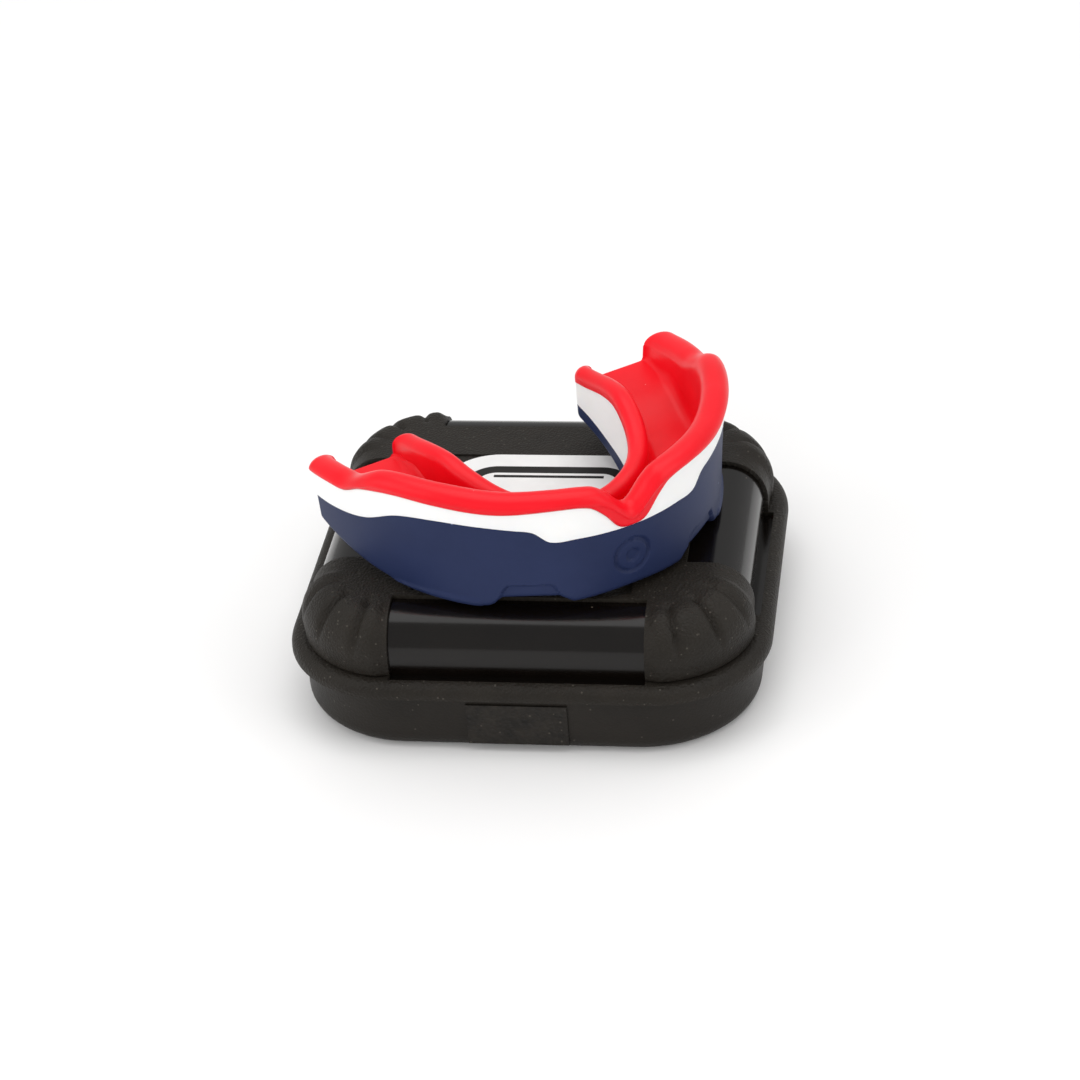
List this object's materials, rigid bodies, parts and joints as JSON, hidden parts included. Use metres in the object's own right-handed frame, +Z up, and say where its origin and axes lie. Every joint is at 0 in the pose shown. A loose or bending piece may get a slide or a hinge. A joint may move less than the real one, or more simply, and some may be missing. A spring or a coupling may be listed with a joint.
{
  "type": "mouthguard with case",
  "caption": "Moulded sports mouthguard with a channel for the teeth, lying on its hinged pocket case with a soft cover.",
  "frame": {"origin": "centre of the case's flat underside", "axes": "+Z up out of the lid, -Y towards the front of the case with its thumb grip, +X to the right"},
  "size_m": [0.08, 0.0798, 0.043],
  "materials": {
    "base_plastic": "satin black moulded plastic",
    "lid_plastic": "polished black moulded plastic",
    "soft_touch": "soft-touch matte black",
    "pin_steel": "drawn steel wire",
    "label_white": "white printed label",
    "label_print": "black print",
    "guard_navy": "navy moulded elastomer",
    "guard_white": "white moulded elastomer",
    "guard_red": "red boil-and-bite liner"
  },
  "bodies": {
    "base": {"base_tray": "base_plastic", "thumb_grip": "soft_touch", "hinge_pin": "pin_steel"},
    "lid": {"lid_shell": "lid_plastic", "rim_band": "soft_touch", "lid_cover": "soft_touch", "name_label": "label_white", "label_print": "label_print"},
    "mouthguard": {"mouthguard_shell": "guard_navy", "mouthguard_band": "guard_white", "mouthguard_liner": "guard_red"}
  },
  "joints": [
    {"name": "lid_hinge", "type": "hinge", "parent": "base", "child": "lid", "pos_m": [0, 0.0396, 0.01015], "axis": [-1, 0, 0], "range_deg": [0, 110]},
    {"name": "mouthguard_lift", "type": "slide", "parent": "lid", "child": "mouthguard", "axis": [0, 0, 1], "range_m": [0, 0.06]}
  ]
}
